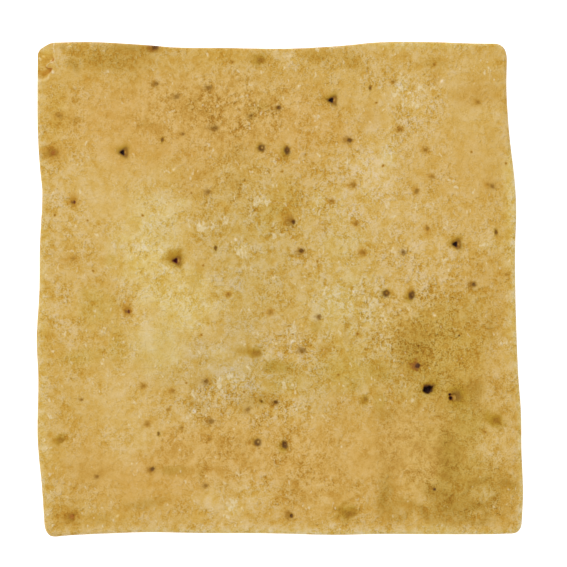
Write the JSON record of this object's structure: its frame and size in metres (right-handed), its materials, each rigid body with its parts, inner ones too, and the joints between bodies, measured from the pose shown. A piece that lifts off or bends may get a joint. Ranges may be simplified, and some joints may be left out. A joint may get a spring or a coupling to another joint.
{
  "type": "handmade-look glazed ceramic wall tile",
  "caption": "Square glazed wall tile with a handmade look: out-of-square wavy edges, a pitted and mottled ochre face, a chipped corner and a flat clay back.",
  "frame": {"origin": "middle of the tile's outline box, on its flat back", "axes": "+Z out of the glazed face, +Y up the face, +X to the right across the face"},
  "size_m": [0.1008, 0.1026, 0.0092],
  "materials": {
    "glaze": "satin",
    "clay": "matte"
  },
  "bodies": {
    "root": {"tile": "glaze"}
  },
  "joints": []
}
